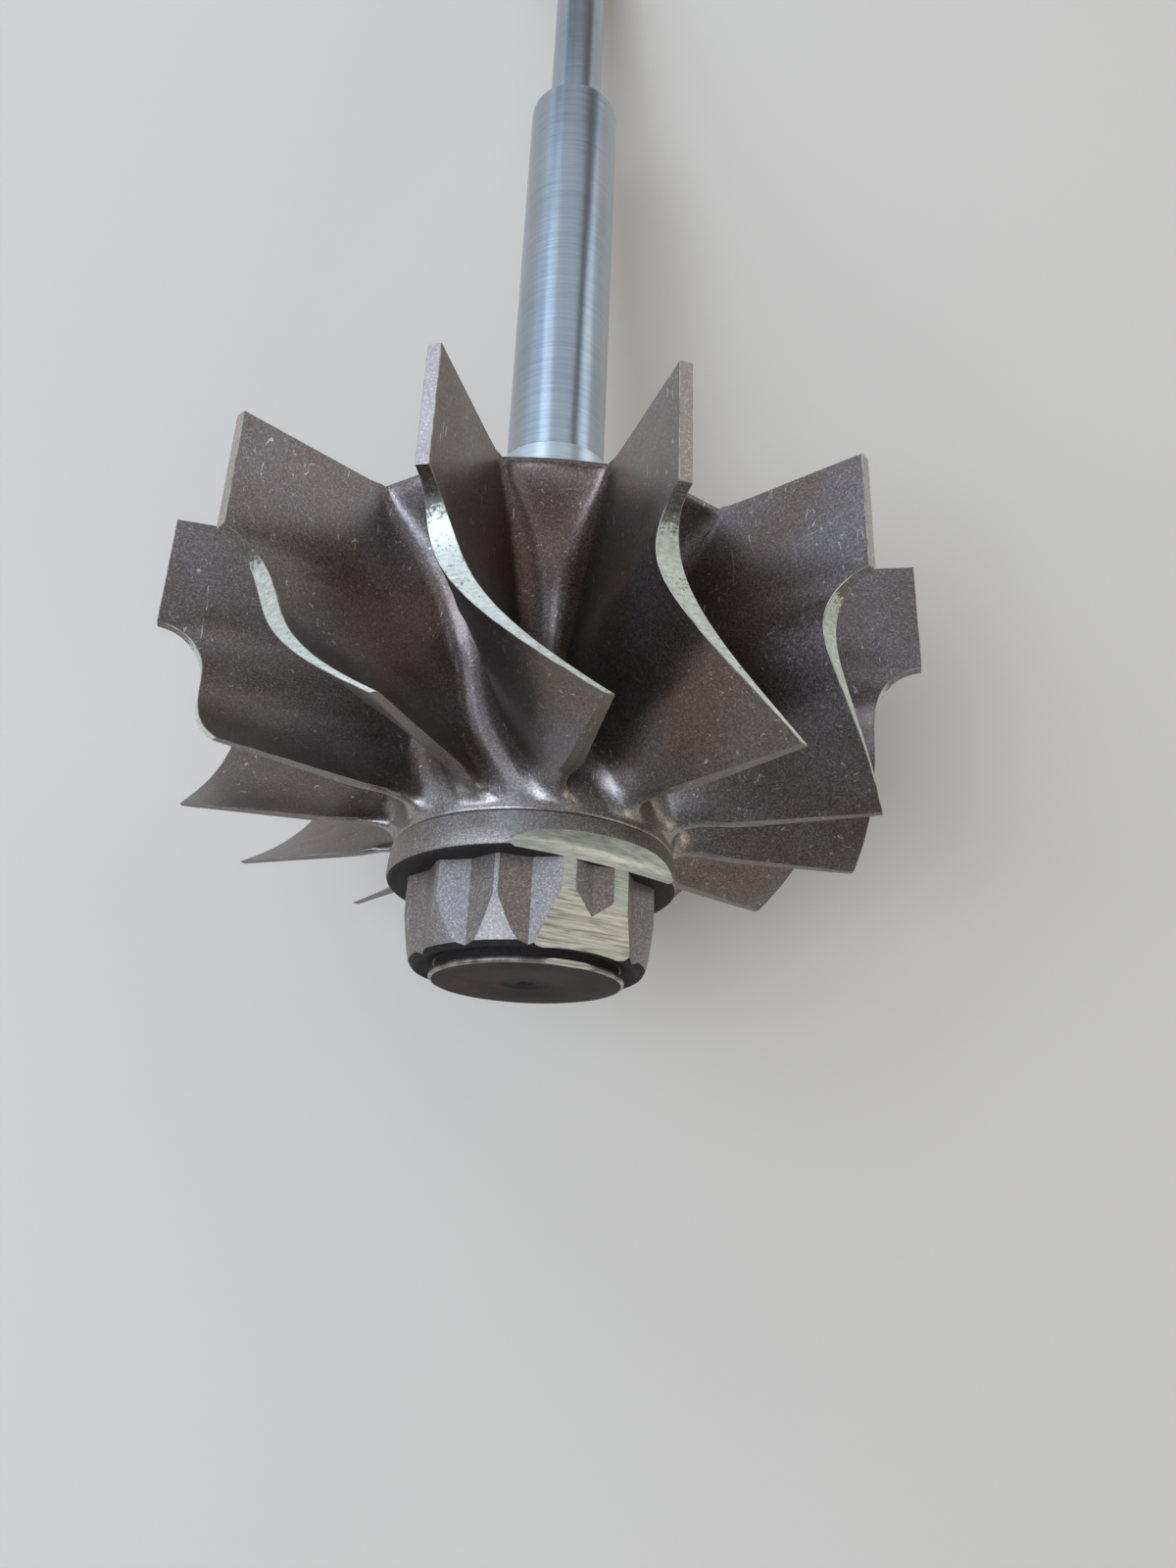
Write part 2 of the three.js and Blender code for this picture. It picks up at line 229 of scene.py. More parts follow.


# Investment cast nickel alloy, blasted and browned by heat: a dark satin skin with a salt and pepper
# grain, brown and grey clouds, and light scuffs and nicks of all sizes where it was knocked. A lighter
# grey, when one is given, is mixed in on the hub in front of the blades as a painted highlight.
def make_cast_alloy(name, brown, grey, dark, light, graining, scuffing, smoothest, relief, front_highlight=None):
    material, tree, local = start_material(name)
    clouds = add(tree, NOISE, {"Vector": local, "Scale": per_mm(14), "Detail": 4, "Roughness": 0.6})
    skin = add(tree, RAMP, {"Fac": clouds}, [(0.38, brown), (0.62, grey)])
    if front_highlight:
        along = add(tree, SEPARATE, {"Vector": local}).outputs["Y"]
        across = add(tree, MAPPING, {"Vector": local, "Scale": (1, 0, 1)})
        radius = add(tree, VECTOR_MATH, {"Vector": across}, operation="LENGTH").outputs["Value"]
        ahead, inside = (
            add(tree, RANGE, {"Value": value, "From Min": start * MILLIMETRE, "From Max": end * MILLIMETRE})
            for value, (start, end) in ((along, HIGHLIGHT_STATIONS), (radius, HIGHLIGHT_RADII))
        )
        # painted highlight: the hub in front of the blades is mixed toward a lighter grey
        highlight_mask = add(tree, MATH, {0: ahead, 1: inside}, operation="MULTIPLY")
        mixed = add(tree, MIX, {"Factor": highlight_mask, "A": skin, "B": colour(front_highlight)}, data_type="RGBA")
        skin = mixed.outputs["Result"]
    # the real grain is about 0.1 mm: drawn at 0.2 mm so that it shows
    grain = add(tree, NOISE, {"Vector": local, "Scale": per_mm(0.2), "Detail": 3, "Roughness": 0.75})
    speckle = add(tree, RAMP, {"Fac": grain}, [(0.32, dark), (0.5, MID_GREY), (0.7, light)])
    grained = add(
        tree, MIX, {"Factor": graining, "A": skin, "B": speckle}, data_type="RGBA", blend_type="OVERLAY"
    )
    nick_noise = {"Scale": per_mm(1.1), "Detail": 6, "Roughness": 0.72, "Distortion": 1.4}
    nicks = add(tree, NOISE, {"Vector": local, **nick_noise})
    nick = add(tree, RAMP, {"Fac": nicks}, [(0.635, BLACK), (0.67, WHITE)])
    slanting = add(tree, MAPPING, {"Vector": local, "Rotation": (0.4, 0.9, 0.5), "Scale": (1, 0.2, 1)})
    scratch_noise = {"Scale": per_mm(0.6), "Detail": 2, "Distortion": 1.6}
    scratches = add(tree, NOISE, {"Vector": slanting, **scratch_noise})
    scratch = add(tree, RAMP, {"Fac": scratches}, [(0.7, BLACK), (0.73, WHITE)])
    marked = add(tree, MATH, {0: nick, 1: scratch}, operation="MAXIMUM")
    worn = add(tree, MATH, {0: marked, 1: scuffing}, operation="MULTIPLY")
    bare = colour("#d8d2cc")
    tone = add(tree, MIX, {"Factor": worn, "A": grained.outputs["Result"], "B": bare}, data_type="RGBA")
    rough_range = {"From Min": 0.3, "From Max": 0.7, "To Min": smoothest, "To Max": smoothest + 0.14}
    rough = add(tree, RANGE, {"Value": grain, **rough_range})
    bumps = [(clouds, 0.2, 0.2), (grain, 0.4, relief)]
    finish_material(tree, tone.outputs["Result"], roughness=rough, metallic=0.9, bumps=bumps)
    return material


# Ground nickel alloy: the shroud edges and balancing cuts, pale green silver with wheel marks that run
# across the edge. Small grey pits of cast skin are left in it, and they close up toward the leading
# edge, where the grinding only grazes the blade.
def make_ground_alloy(name, stretch, mark_size, mark_depth, pitting, roughness, shades):
    material, tree, local = start_material(name)
    across = add(tree, MAPPING, {"Vector": local, "Scale": (stretch, 1, stretch)})
    mark_noise = {"Scale": per_mm(mark_size), "Detail": 3, "Roughness": 0.6, "Distortion": 0.35}
    marks = add(tree, NOISE, {"Vector": across, **mark_noise})
    pale = add(tree, RAMP, {"Fac": marks}, [(0.32, shades[0]), (0.5, shades[1]), (0.68, shades[2])])
    blotches = add(tree, NOISE, {"Vector": local, "Scale": per_mm(2.6), "Detail": 2})
    faint_blotches = add(tree, MATH, {0: blotches, 1: 0.3}, operation="MULTIPLY")
    pits = add(tree, NOISE, {"Vector": local, "Scale": per_mm(0.28), "Detail": 3, "Roughness": 0.7})
    uneven = add(tree, MATH, {0: pits, 1: faint_blotches}, operation="ADD")
    along = add(tree, SEPARATE, {"Vector": local}).outputs["Y"]
    # skin is left wherever the surface lies low, and all of it lies low where the grinding only grazes
    full, grazing = (station * MILLIMETRE for station in GRINDING_STATIONS)
    most_lowering = 0.34
    low_range = {"From Min": full, "From Max": grazing, "To Min": 0, "To Max": most_lowering}
    lowering = add(tree, RANGE, {"Value": along, **low_range})
    depth = add(tree, MATH, {0: uneven, 1: lowering}, operation="SUBTRACT")
    pit_level = 0.32 + 0.14 * pitting
    pit_softness = 0.12
    pit = add(tree, RAMP, {"Fac": depth}, [(pit_level, WHITE), (pit_level + pit_softness, BLACK)])
    tone = add(tree, MIX, {"Factor": pit, "A": pale, "B": colour("#7d7a72")}, data_type="RGBA")
    bumps = [(marks, 0.9, mark_depth), (depth, 0.2, 0.03)]
    finish_material(tree, tone.outputs["Result"], roughness=roughness, metallic=0.9, bumps=bumps)
    return material


# Steel turned or ground between centres: fine rings round the axis, smooth, grey with a blue cast.
def make_shaft_steel(name, dark, light, roughness, ring_size, ring_depth):
    material, tree, local = start_material(name)
    round_it = add(tree, MAPPING, {"Vector": local, "Scale": (0.03, 1, 0.03)})
    rings = add(tree, NOISE, {"Vector": round_it, "Scale": per_mm(ring_size), "Detail": 2, "Roughness": 0.5})
    clouds = add(tree, NOISE, {"Vector": local, "Scale": per_mm(12), "Detail": 3})
    sum_of_both = add(tree, MATH, {0: rings, 1: clouds}, operation="ADD")
    average = add(tree, MATH, {0: sum_of_both, 1: 0.5}, operation="MULTIPLY")
    tone = add(tree, RAMP, {"Fac": average}, [(0.35, dark), (0.65, light)])
    finish_material(tree, tone, roughness=roughness, metallic=1.0, bumps=[(rings, 0.3, ring_depth)])
    return material


# Faced nose end: a flat turned face that has gone brown with heat and is painted darker still, as a
# painted reflection of dark surroundings, with a dark smear over its middle.
def make_darkened_nose_face():
    material, tree, local = start_material("browned_face_with_painted_dark_reflection")
    clouds = add(tree, NOISE, {"Vector": local, "Scale": per_mm(5), "Detail": 5, "Roughness": 0.65})
    rings = add(
        tree, "ShaderNodeTexWave", {"Vector": local, "Scale": per_mm(8), "Distortion": 0.6, "Detail": 2},
        wave_type="RINGS", rings_direction="Y",
    )
    # very dark browns: the heat tint, with a painted dark reflection on top of it
    skin = add(tree, RAMP, {"Fac": clouds}, [(0.35, "#22160f"), (0.55, "#33241b"), (0.75, "#46352a")])
    middle = add(tree, MAPPING, {"Vector": local, "Scale": (per_mm(3.4), 0, per_mm(3.4))})
    nearness = add(tree, "ShaderNodeTexGradient", {"Vector": middle}, gradient_type="SPHERICAL")
    uneven = add(tree, MATH, {0: nearness.outputs["Fac"], 1: clouds}, operation="MULTIPLY")
    smear = add(tree, RAMP, {"Fac": uneven}, [(0.1, BLACK), (0.2, WHITE)])
    tone = add(tree, MIX, {"Factor": smear, "A": skin, "B": colour("#070606")}, data_type="RGBA")
    bumps = [(rings, 0.3, 0.03), (clouds, 0.4, 0.05)]
    finish_material(tree, tone.outputs["Result"], roughness=0.8, metallic=0.1, bumps=bumps)
    return material


# Rubbed arris: the thin line where handling has polished the cast skin off an edge.
def make_rubbed_arris():
    material, tree, local = start_material("rubbed_cast_arris")
    wear = add(tree, NOISE, {"Vector": local, "Scale": per_mm(1.5), "Detail": 3})
    tone = add(tree, RAMP, {"Fac": wear}, [(0.35, "#7a716b"), (0.6, "#bdb6ac")])
    finish_material(tree, tone, roughness=0.38, metallic=0.9)
    return material


# Oxidised undercut: the recess round the end boss and the rim's front face, never wiped or
# reground, with a dull black brown oxide. Its near black is also painted shade, the shade that falls
# in these recesses and under the rim.
def make_shaded_oxide():
    material, tree, local = start_material("oxide_with_painted_shade")
    grain = add(tree, NOISE, {"Vector": local, "Scale": per_mm(0.4), "Detail": 3})
    tone = add(tree, RAMP, {"Fac": grain}, [(0.35, "#16110f"), (0.65, "#2a211d")])
    finish_material(tree, tone, roughness=0.75, metallic=0.2, bumps=[(grain, 0.4, 0.04)])
    return material


# Sizes and depths are in millimetres.
# the light grey given to the cast wheel is a painted highlight on the hub in front of the blades
CAST = make_cast_alloy(
    "investment_cast_nickel_alloy", "#8f8076", "#9a9390", "#352e2b", "#dcd8d4",
    graining=0.65, scuffing=0.85, smoothest=0.28, relief=0.02, front_highlight="#bdb7b1",
)
EDGE = make_cast_alloy(
    "handled_cast_blade_edge", "#c0b8b1", "#cac5c0", "#6c645f", "#efebe8",
    graining=0.5, scuffing=0.4, smoothest=0.28, relief=0.02,
)
RIM = make_cast_alloy(
    "blasted_cast_nickel_alloy", "#a59d95", "#b2aca7", "#4a443f", "#e2deda",
    graining=0.6, scuffing=0.5, smoothest=0.42, relief=0.04,
)
SHROUD = make_ground_alloy(
    "ground_shroud_edge", stretch=0.35, mark_size=0.25, mark_depth=0.008, pitting=0.8, roughness=0.52,
    shades=("#c3c9b8", "#d6dbcc", "#e9ebde"),
)
HOLLOW = make_ground_alloy(
    "fine_ground_balancing_hollow", stretch=0.1, mark_size=0.14, mark_depth=0.012, pitting=0,
    roughness=0.42, shades=("#b4b8ac", "#cfd4c9", "#e4e7dd"),
)
CUT = make_ground_alloy(
    "ground_balancing_cut", stretch=0.06, mark_size=0.24, mark_depth=0.05, pitting=0, roughness=0.42,
    shades=("#9a9b8b", "#d2d2c2", "#f2f0e2"),
)
ARRIS = make_rubbed_arris()
DARKENED_FACE = make_darkened_nose_face()
SHADED_OXIDE = make_shaded_oxide()
JOURNAL = make_shaft_steel(
    "ground_journal_steel", "#9ba4aa", "#adb6bb", roughness=0.24, ring_size=0.3, ring_depth=0.0006
)
COLLAR = make_shaft_steel(
    "turned_collar_steel", "#b3bdbf", "#c6d1d2", roughness=0.3, ring_size=0.25, ring_depth=0.01
)
THREAD = make_shaft_steel(
    "rolled_thread_steel", "#858d90", "#9ba3a6", roughness=0.3, ring_size=0.3, ring_depth=0.004
)


# Building and placing pieces


def take_mesh(name, bm, materials):
    """Moves what a bmesh holds into a new mesh with these materials."""
    mesh = bpy.data.meshes.new(name)
    bm.to_mesh(mesh)
    bm.free()
    for material in materials:
        mesh.materials.append(material)
    return mesh


def place_object(name, data):
    """A new object in the scene, for a mesh, a light or a camera."""
    placed = bpy.data.objects.new(name, data)
    bpy.context.scene.collection.objects.link(placed)
    return placed


def place_piece(name, bm, materials, stands_for, bevel, sharp_angle=35, arris=None, is_cage=False):
    """Turns a mesh made in the rotor's millimetres into a piece of the part, in place of its solids.

    A cage is rounded by subdivision and has its own sharp edges. Bevels take the material of number arris.
    """
    bmesh.ops.recalc_face_normals(bm, faces=bm.faces)
    bmesh.ops.transform(bm, matrix=ROTOR, verts=bm.verts)
    mesh = take_mesh(name, bm, materials)
    mesh.shade_smooth()
    piece = place_object(name, mesh)
    if is_cage:
        rounding = piece.modifiers.new("casting", "SUBSURF")
        rounding.levels = rounding.render_levels = 2
    else:
        mesh.set_sharp_from_angle(angle=math.radians(sharp_angle))
    if bevel:
        edges = piece.modifiers.new("arrises", "BEVEL")
        edges.width = bevel * MILLIMETRE
        edges.segments = 2
        edges.limit_method = "ANGLE"
        edges.angle_limit = math.radians(sharp_angle)
        edges.harden_normals = True
        edges.use_clamp_overlap = True
        if arris is not None:
            edges.material = arris
    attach(piece, "root")
    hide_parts(*stands_for)


def on_rotor(station, radius, angle):
    """A point from its station along the axis, its radius and its angle from the top."""
    return Vector((radius * math.sin(angle), station, radius * math.cos(angle)))


def turned(profile, steps=128):
    """A round mesh: a line of (radius, station) points spun about the rotor's axis."""
    bm = bmesh.new()
    line = [bm.verts.new(on_rotor(station, radius, 0)) for radius, station in profile]
    edges = [bm.edges.new(pair) for pair in zip(line, line[1:])]
    bmesh.ops.spin(
        bm, geom=line + edges, cent=(0, 0, 0), axis=(0, 1, 0), angle=2 * math.pi, steps=steps, use_merge=True
    )
    bmesh.ops.remove_doubles(bm, verts=bm.verts, dist=1e-4)
    return bm


def cut_off(bm, point, outward):
    """Cuts away what lies beyond a plane and closes the cut. Returns its new faces."""
    everything = bm.verts[:] + bm.edges[:] + bm.faces[:]
    cut = bmesh.ops.bisect_plane(bm, geom=everything, plane_co=point, plane_no=outward, clear_outer=True)
    rim = [item for item in cut["geom_cut"] if isinstance(item, bmesh.types.BMEdge)]
    return bmesh.ops.holes_fill(bm, edges=rim, sides=0)["faces"]


def grind_flat(bm, angle, stations, distances, material):
    """Cuts a flat across a round mesh. Its distances from the axis belong to its front and back stations."""
    lean = math.atan2(distances[1] - distances[0], stations[1] - stations[0])
    point = on_rotor(stations[0], distances[0], angle)
    outward = on_rotor(0, math.cos(lean), angle) - Vector((0, math.sin(lean), 0))
    for face in cut_off(bm, point, outward):
        face.material_index = material


def carve(bm, other, operation):
    """Keeps what two meshes share, or takes the second from the first. Faces keep their materials."""
    pair = []
    # both blanks carry the same materials, in the order of the nose's, so that a face keeps its number
    for shape in (bm, other):
        bmesh.ops.recalc_face_normals(shape, faces=shape.faces)
        pair.append(place_object("blank", take_mesh("blank", shape, [RIM, HOLLOW, SHADED_OXIDE])))
    cutting = pair[0].modifiers.new("cut", "BOOLEAN")
    cutting.operation = operation
    cutting.solver = "EXACT"
    cutting.object = pair[1]
    carved = bmesh.new()
    carved.from_mesh(pair[0].evaluated_get(bpy.context.evaluated_depsgraph_get()).to_mesh())
    for blank in pair:
        bpy.data.meshes.remove(blank.data)
    bmesh.ops.dissolve_degenerate(carved, dist=1e-3, edges=carved.edges)
    bmesh.ops.remove_doubles(carved, verts=carved.verts, dist=1e-3)
    return carved


# Cast wheel: one blade and its share of the hub are shaped as a coarse cage, repeated twelve times


def mix(a, b, share):
    """The value that lies this share of the way from a to b."""
    return a + (b - a) * share


def smooth_share(value, low, high):
    """Grows smoothly from 0 at the low value to 1 at the high one."""
    share = min(max((value - low) / (high - low), 0), 1)
    return share * share * (3 - 2 * share)


def camber(station):
    """Turn of the blade at a station: none along the leading edge, then growing to the trailing edge."""
    turning_length = WRAP_START_STATION - TRAILING_STATION
    share = (WRAP_START_STATION - max(station, TRAILING_STATION)) / turning_length
    return WRAP * share**WRAP_POWER if share > 0 else 0


def blade_thickness(station, rise):
    """Thickness at a station, where rise grows from 0 at the foot to 1 at the outer edge."""
    if station > CROWN_STATION:
        end_thickness, share = TIP_THICKNESS, 1 - smooth_share(station, CROWN_STATION, -TIP_HEIGHT)
    else:
        end_thickness, share = TRAILING_THICKNESS, smooth_share(station, TRAILING_STATION, CROWN_STATION)
    return mix(end_thickness, CROWN_THICKNESS, share) + ROOT_THICKENING * (1 - rise)


def blade_tip_points():
    """(station, radius) along the outer edge: leading edge, contour arc and shroud line."""
    points = [(0, TIP_RADIUS), (-TIP_HEIGHT / 2, TIP_RADIUS), (-TIP_HEIGHT, TIP_RADIUS)]
    for degrees in CONTOUR_TURNS:
        turn = math.radians(degrees)
        station = -TIP_HEIGHT - CONTOUR_FILLET * (1 - math.cos(turn))
        points.append((station, TIP_RADIUS - CONTOUR_FILLET * math.sin(turn)))
    shroud_start = points[-1]
    for share in SHROUD_SHARES:
        station = mix(shroud_start[0], TRAILING_STATION, share)
        points.append((station, mix(shroud_start[1], EXDUCER_RADIUS, share)))
    return points


# Rows of the blade's cage rise from the hub to the outer edge, from its back corner to its trailing
# edge. The leading edge ends at row 2, and the edge is ground from the arc's second turn on.
TIPS = [Vector(point) for point in blade_tip_points()]
ROOTS = [Vector(point) for point in HUB_ROOT_LINE]
LEADING_EDGE_END = 2
FIRST_GROUND_ROW = LEADING_EDGE_END + 2
LAST_ROW = len(ROOTS) - 1

# Columns of the cage run round the hub. The two in the middle carry the blade's two faces.
CAGE_COLUMNS = 5
BLADE_COLUMNS = (2, 3)
CLOSING = 0.3  # share of half a pitch that these two keep beyond the ends of the blade

# Levels of the cage rise from the blade's foot. Heights and spreads of the first ones, and how far the
# fillet reaches on the hub, are shares of the fillet's radius. The others are evenly spaced.
FILLET_HEIGHTS = [0.19, 0.5, 1.25]
FILLET_SPREADS = [0.37, 0.09, 0]
FILLET_REACH = 0.75
FREE_LEVELS = 3
LEVELS = len(FILLET_HEIGHTS) + FREE_LEVELS


def root_fillet(root):
    """Radius of the fillet at a place on the hub: small at the disc, and less where the blades crowd."""
    cast = mix(ROOT_FILLET, RIM_FILLET, smooth_share(root.y, *RIM_FILLET_RADII))
    return min(cast, (PITCH * root.y - blade_thickness(root.x, 0)) / 2)


def blade_point(row, level, side):
    """A point of the blade's cage. Level 0 is its foot on the hub, the last level its outer edge."""
    root, tip = ROOTS[row], TIPS[row]
    fillet = root_fillet(root)
    span = (tip - root).length
    if level < len(FILLET_HEIGHTS):
        height, spread = FILLET_HEIGHTS[level] * fillet, FILLET_SPREADS[level] * fillet
    else:
        share = (level - len(FILLET_HEIGHTS) + 1) / FREE_LEVELS
        height, spread = mix(FILLET_HEIGHTS[-1] * fillet, span, share), 0
    rise = height / span
    place = root.lerp(tip, rise)
    angle = camber(place.x) + side * (blade_thickness(place.x, rise) / 2 + spread) / place.y
    return on_rotor(place.x - (spread if row == LAST_ROW else 0), place.y, angle)


def lay_hub_strip(bm, row_of, side_of):
    """A strip of hub, one pitch wide, with the foot of the blade along its middle.

    The foot's points note their row, counted from 1, and their side of the blade.
    """
    hub_line = [Vector(point) for point in HUB_BACK_LINE + HUB_ROOT_LINE + HUB_FRONT_LINE]
    lines = len(hub_line) - 1
    grid = bmesh.ops.create_grid(bm, x_segments=CAGE_COLUMNS, y_segments=lines, size=1)["verts"]
    for vert in grid:
        column = round((vert.co.x + 1) / 2 * CAGE_COLUMNS)
        line = round((vert.co.y + 1) / 2 * lines)
        row = line - len(HUB_BACK_LINE)
        side = -1 if column < CAGE_COLUMNS / 2 else 1
        if column in BLADE_COLUMNS and 0 <= row <= LAST_ROW:
            vert.co = blade_point(row, 0, side)
            vert[row_of] = row + 1
            vert[side_of] = side
        else:
            place = hub_line[line]
            fillet = root_fillet(place)
            middle = PITCH * place.y / 2
            foot_width = blade_thickness(place.x, 0) / 2 + FILLET_SPREADS[0] * fillet
            reach = foot_width + (FILLET_REACH - FILLET_SPREADS[0]) * fillet
            offsets = (middle, min(reach, (foot_width + middle) / 2), min(foot_width, middle * CLOSING))
            offset = offsets[min(column, CAGE_COLUMNS - column)]
            vert.co = on_rotor(place.x, place.y, camber(place.x) + side * offset / place.y)


def raise_blade(bm, row_of, side_of, crease):
    """Draws the blade out of its foot, level by level. Returns the faces of its outer edge."""
    top = [face for face in bm.faces if all(vert[side_of] for vert in face.verts)]
    for level in range(1, LEVELS):
        raised = bmesh.ops.extrude_face_region(bm, geom=top)["geom"]
        bmesh.ops.delete(bm, geom=top, context="FACES_ONLY")
        top = [item for item in raised if isinstance(item, bmesh.types.BMFace)]
        for vert in {vert for face in top for vert in face.verts}:
            vert.co = blade_point(vert[row_of] - 1, level, vert[side_of])
        # the corners of the blade's back edge are sharp, and above the fillet those of its trailing edge
        end_rows = (0, LAST_ROW) if level >= len(FILLET_HEIGHTS) else (0,)
        corners = {vert for face in top for vert in face.verts if vert[row_of] - 1 in end_rows}
        for vert in corners:
            for edge in vert.link_edges:
                below = edge.other_vert(vert)
                if below[row_of] == vert[row_of] and below not in corners:
                    edge[crease] = 1.0
    return top


WHEEL_MATERIALS = [CAST, SHROUD, ARRIS, EDGE]


def finish_outer_edge(top, row_of, crease):
    """Gives the faces of the blade's outer edge their finish, and keeps their borders sharp."""
    for face in top:
        rows = {vert[row_of] - 1 for vert in face.verts}
        if min(rows) >= FIRST_GROUND_ROW:
            face.material_index = WHEEL_MATERIALS.index(SHROUD)
        elif max(rows) <= LEADING_EDGE_END:
            face.material_index = WHEEL_MATERIALS.index(EDGE)
        for edge in face.edges:
            beyond = [other for other in edge.link_faces if other not in top]
            across = {vert[row_of] - 1 for vert in edge.verts} == {LEADING_EDGE_END}
            if beyond or across:
                edge[crease] = 1.0


def make_cast_wheel():
    """The wheel: a strip of hub with one blade raised on it, spun round and closed at both ends."""
    bm = bmesh.new()
    row_of = bm.verts.layers.int.new("row")
    side_of = bm.verts.layers.int.new("side")
    crease = bm.edges.layers.float.new("crease_edge")
    lay_hub_strip(bm, row_of, side_of)
    top = raise_blade(bm, row_of, side_of, crease)
    finish_outer_edge(top, row_of, crease)
    for edge in bm.edges:
        if edge[crease]:
            edge.smooth = False

    everything = bm.verts[:] + bm.edges[:] + bm.faces[:]
    bmesh.ops.rotate(bm, verts=bm.verts, cent=(0, 0, 0), matrix=Matrix.Rotation(PITCH / 2, 3, "Y"))
    bmesh.ops.spin(
        bm, geom=everything, cent=(0, 0, 0), axis=(0, 1, 0),
        angle=2 * math.pi - PITCH, steps=BLADE_COUNT - 1, use_duplicate=True,
    )
    bmesh.ops.remove_doubles(bm, verts=bm.verts, dist=1e-3)
    open_edges = [edge for edge in bm.edges if edge.is_boundary]
    for face in bmesh.ops.holes_fill(bm, edges=open_edges, sides=0)["faces"]:
        for edge in face.edges:
            edge[crease] = 1.0
    blades = [f"blade_{number:02d}" for number in range(1, BLADE_COUNT + 1)]
    place_piece(
        "cast_wheel", bm, WHEEL_MATERIALS, ["wheel_hub", *blades], bevel=0.07,
        sharp_angle=55, arris=WHEEL_MATERIALS.index(ARRIS), is_cage=True,
    )


make_cast_wheel()


# Nose: rim, nut and end boss


NOSE_MATERIALS = [RIM, HOLLOW, SHADED_OXIDE, CUT]
BOSS_MATERIALS = [DARKENED_FACE, ARRIS, SHADED_OXIDE, CUT]
FINE_STEPS = 240


def paint_shaded_oxide_front(bm, station):
    """Gives the faces in front of a station the oxide, painted near black as shade."""
    for face in bm.faces:
        if face.calc_center_median().y < station:
            face.material_index = NOSE_MATERIALS.index(SHADED_OXIDE)


def ground_hollow():
    """The metal that the balancing pass took: a ring about the arc's centre, with a rounded shoulder."""
    front = NUT_TAPER_STATION - 1
    shoulder = [(HOLLOW_SWEEP + outside, RIM_FRONT_STATION + behind) for outside, behind in HOLLOW_SHOULDER]
    bm = turned(
        [(HOLLOW_SWEEP, front), (HOLLOW_SWEEP + HOLLOW_WIDTH, front), *shoulder, (HOLLOW_SWEEP, front)],
        steps=FINE_STEPS,
    )
    for face in bm.faces:
        face.material_index = NOSE_MATERIALS.index(HOLLOW)
    bmesh.ops.translate(bm, verts=bm.verts, vec=(0, 0, HOLLOW_DISTANCE - HOLLOW_SWEEP))
    bmesh.ops.rotate(bm, verts=bm.verts, cent=(0, 0, 0), matrix=Matrix.Rotation(HOLLOW_ANGLE, 3, "Y"))
    return bm


def make_rim():
    """The balancing rim: a flange with rounded edges, hollowed where metal was ground off."""
    bm = turned(
        [
            (0, RIM_SEAM_STATION),
            (RIM_SEAM_RADIUS - 0.16, RIM_SEAM_STATION),
            (RIM_SEAM_RADIUS + 0.02, RIM_SEAM_STATION - 0.14),
            (RIM_RADIUS - 0.12, RIM_SEAM_STATION - 1.3),
            (RIM_RADIUS, RIM_FRONT_STATION + 0.5),
            (RIM_RADIUS - 0.12, RIM_FRONT_STATION + 0.2),
            (RIM_RADIUS - 0.35, RIM_FRONT_STATION),
            (0, RIM_FRONT_STATION),
        ]
    )
    rounded_edge = 0.15
    # the rim's front face, which overhangs the nut, gets the oxide, painted black as the shade under it
    paint_shaded_oxide_front(bm, RIM_FRONT_STATION + rounded_edge)
    bm = carve(bm, ground_hollow(), "DIFFERENCE")
    place_piece(
        "rim_casting", bm, NOSE_MATERIALS[:3], ["balance_rim"], bevel=0.06, sharp_angle=40
    )


def make_nut():
    """The nut: a star with twelve points, cut to a turned envelope that tapers to its flat end."""
    bm = bmesh.new()
    ring = bmesh.ops.create_circle(bm, segments=2 * NUT_POINTS, radius=1, cap_ends=True)["verts"]
    for number, vert in enumerate(ring):
        radius = NUT_POINT_RADIUS if number % 2 else NUT_VALLEY_RADIUS
        vert.co = on_rotor(RIM_FRONT_STATION + 0.1, radius, number * math.pi / NUT_POINTS)
    drawn = bmesh.ops.extrude_face_region(bm, geom=bm.faces[:])["geom"]
    drawn_verts = [item for item in drawn if isinstance(item, bmesh.types.BMVert)]
    length = NUT_END_STATION - 1 - RIM_FRONT_STATION
    bmesh.ops.translate(bm, verts=drawn_verts, vec=(0, length, 0))
    envelope = turned(
        [
            (0, RIM_FRONT_STATION),
            (NUT_LAND_RADIUS, RIM_FRONT_STATION),
            (NUT_LAND_RADIUS, NUT_TAPER_STATION),
            (NUT_LAND_RADIUS - 0.33, NUT_TAPER_STATION - 1.6),
            (NUT_LAND_RADIUS - 0.6, NUT_TAPER_STATION - 3.0),
            (NUT_END_RADIUS, NUT_END_STATION + 0.45),
            (NUT_END_RADIUS - 0.3, NUT_END_STATION + 0.1),
            (NUT_END_RADIUS - 0.6, NUT_END_STATION),
            (NUT_END_RADIUS - 1.1, NUT_END_STATION + 0.25),
            (NOSE_RADIUS - 0.3, NUT_END_STATION + 0.5),
            (0, NUT_END_STATION + 0.5),
        ],
        steps=FINE_STEPS,
    )
    end_recess = 0.42
    # the nut's recessed end face gets the oxide, painted black as the shade in it
    paint_shaded_oxide_front(envelope, NUT_END_STATION + end_recess)
    bm = carve(bm, envelope, "INTERSECT")
    bm = carve(bm, ground_hollow(), "DIFFERENCE")
    stations = (NUT_END_STATION, NUT_TAPER_STATION)
    grind_flat(bm, FLAT_ANGLE, stations, FLAT_DISTANCES, NOSE_MATERIALS.index(CUT))
    place_piece("nut_casting", bm, NOSE_MATERIALS, ["nose_nut"], bevel=0.07, sharp_angle=20)


